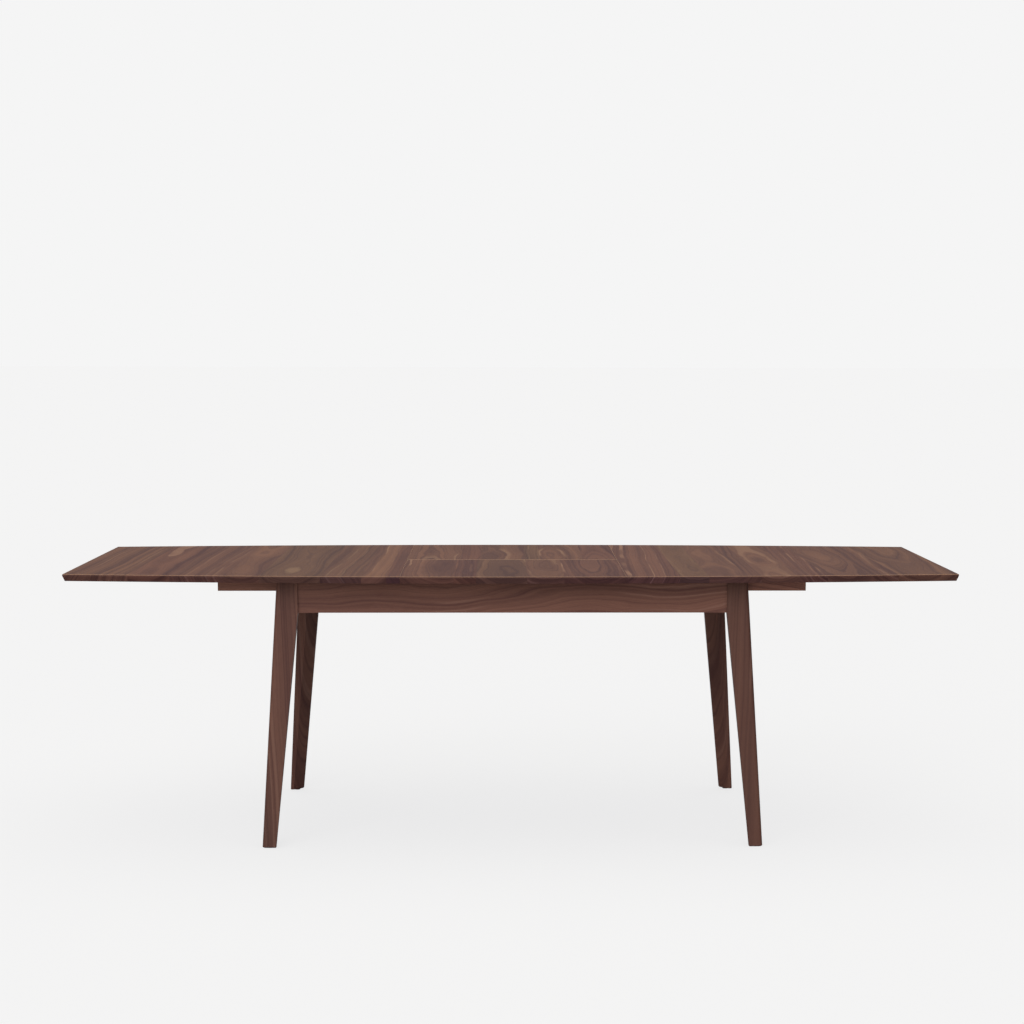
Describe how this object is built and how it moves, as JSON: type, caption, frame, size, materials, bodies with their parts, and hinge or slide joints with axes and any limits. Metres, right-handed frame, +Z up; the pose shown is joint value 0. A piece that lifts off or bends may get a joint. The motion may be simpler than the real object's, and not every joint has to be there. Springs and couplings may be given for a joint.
{
  "type": "extendable dining table",
  "caption": "Walnut dining table with a boat-shaped board top, splayed tapered legs and a folding centre leaf stored on swing arms under two sliding top halves.",
  "frame": {"origin": "on the floor, under the middle of the open table", "axes": "+X along the table's length, +Y across it, +Z up"},
  "size_m": [2.438, 1.016, 0.762],
  "materials": {
    "top_walnut": "oiled walnut boards, satin",
    "base_walnut": "oiled walnut, satin",
    "inner_walnut": "planed walnut, matt",
    "zinc_steel": "zinc plated, satin",
    "bright_steel": "bright",
    "brass": "satin",
    "nylon": "matt moulded",
    "felt": "felt"
  },
  "bodies": {
    "base": {"leg_front_left": "base_walnut", "leg_front_right": "base_walnut", "leg_rear_left": "base_walnut", "leg_rear_right": "base_walnut", "apron_front": "base_walnut", "apron_rear": "base_walnut", "apron_left_end": "base_walnut", "apron_right_end": "base_walnut", "corner_braces": "inner_walnut", "corner_bolts": "bright_steel", "corner_washers": "bright_steel", "corner_nuts": "bright_steel", "foot_glides": "nylon", "leaf_rest_pads": "felt", "slide_outer_members": "zinc_steel", "base_screws": "bright_steel", "leaf_bearer_left": "inner_walnut", "leaf_bearer_right": "inner_walnut", "bearer_brackets": "zinc_steel", "arm_pivot_bolts": "bright_steel", "arm_pivot_washers": "bright_steel", "pinion_bracket": "zinc_steel", "rack_guide": "nylon", "pinion_axle": "bright_steel", "pinion_retainer": "bright_steel"},
    "left_half": {"top_left": "top_walnut", "rail_left_front": "inner_walnut", "rail_left_rear": "inner_walnut", "cleat_left": "inner_walnut", "end_batten_left": "inner_walnut", "top_screws_left": "bright_steel", "slide_inner_members_left": "zinc_steel", "slide_inner_screws_left": "bright_steel", "rack_left": "nylon", "rack_block_left": "inner_walnut"},
    "right_half": {"top_right": "top_walnut", "rail_right_front": "inner_walnut", "rail_right_rear": "inner_walnut", "cleat_right": "inner_walnut", "end_batten_right": "inner_walnut", "top_screws_right": "bright_steel", "slide_inner_members_right": "zinc_steel", "slide_inner_screws_right": "bright_steel", "rack_right": "nylon", "rack_block_right": "inner_walnut"},
    "left_slide_middles": {"slide_middle_members_left": "zinc_steel"},
    "right_slide_middles": {"slide_middle_members_right": "zinc_steel"},
    "pinion": {"equalizer_pinion": "nylon"},
    "front_arms": {"swing_arms_front": "zinc_steel"},
    "rear_arms": {"swing_arms_rear": "zinc_steel"},
    "leaf_rear": {"leaf_rear_panel": "top_walnut", "leaf_carriers": "zinc_steel", "carrier_rivets": "bright_steel", "fold_hinge_plates_rear": "brass", "leaf_screws_rear": "bright_steel"},
    "fold_links": {"fold_hinge_links": "brass"},
    "leaf_front": {"leaf_front_panel": "top_walnut", "fold_hinge_plates_front": "brass", "leaf_screws_front": "bright_steel"}
  },
  "joints": [
    {"name": "left_half_slide", "type": "slide", "parent": "base", "child": "left_half", "axis": [-1, 0, 0], "range_m": [0, 0.03]},
    {"name": "right_half_slide", "type": "slide", "parent": "base", "child": "right_half", "axis": [1, 0, 0], "range_m": [0, 0.03]},
    {"name": "left_middle_slide", "type": "slide", "parent": "base", "child": "left_slide_middles", "axis": [-1, 0, 0], "range_m": [0, 0.015]},
    {"name": "right_middle_slide", "type": "slide", "parent": "base", "child": "right_slide_middles", "axis": [1, 0, 0], "range_m": [0, 0.015]},
    {"name": "pinion_spin", "type": "hinge", "parent": "base", "child": "pinion", "pos_m": [0, 0.29, 0.7], "axis": [0, 0, -1], "range_deg": [0, 123]},
    {"name": "leaf_swing", "type": "hinge", "parent": "base", "child": "front_arms", "pos_m": [0, -0.04933, 0.665], "axis": [1, 0, 0], "range_deg": [0, 142.02]},
    {"name": "rear_arm_swing", "type": "hinge", "parent": "base", "child": "rear_arms", "pos_m": [0, 0.13067, 0.665], "axis": [1, 0, 0], "range_deg": [0, 142.1]},
    {"name": "leaf_level", "type": "hinge", "parent": "front_arms", "child": "leaf_rear", "pos_m": [0, 0.07, 0.731], "axis": [-1, 0, 0], "range_deg": [0, 142.1]},
    {"name": "fold_link_turn", "type": "hinge", "parent": "leaf_rear", "child": "fold_links", "pos_m": [0, 0.0033, 0.759], "axis": [-1, 0, 0], "range_deg": [0, 90]},
    {"name": "leaf_fold", "type": "hinge", "parent": "leaf_rear", "child": "leaf_front", "pos_m": [0, 0, 0.7623], "axis": [-1, 0, 0], "range_deg": [0, 180]}
  ],
  "couplings": [
    {"joint": "right_half_slide", "follows": "left_half_slide", "ratio": 1},
    {"joint": "left_middle_slide", "follows": "left_half_slide", "ratio": 0.5},
    {"joint": "right_middle_slide", "follows": "left_half_slide", "ratio": 0.5},
    {"joint": "pinion_spin", "follows": "left_half_slide", "rad_per_m": 71.429},
    {"joint": "rear_arm_swing", "follows": "leaf_swing", "ratio": 1},
    {"joint": "leaf_level", "follows": "leaf_swing", "ratio": 1},
    {"joint": "fold_link_turn", "follows": "leaf_swing", "ratio": 0.6337},
    {"joint": "leaf_fold", "follows": "leaf_swing", "ratio": 1.2674}
  ]
}
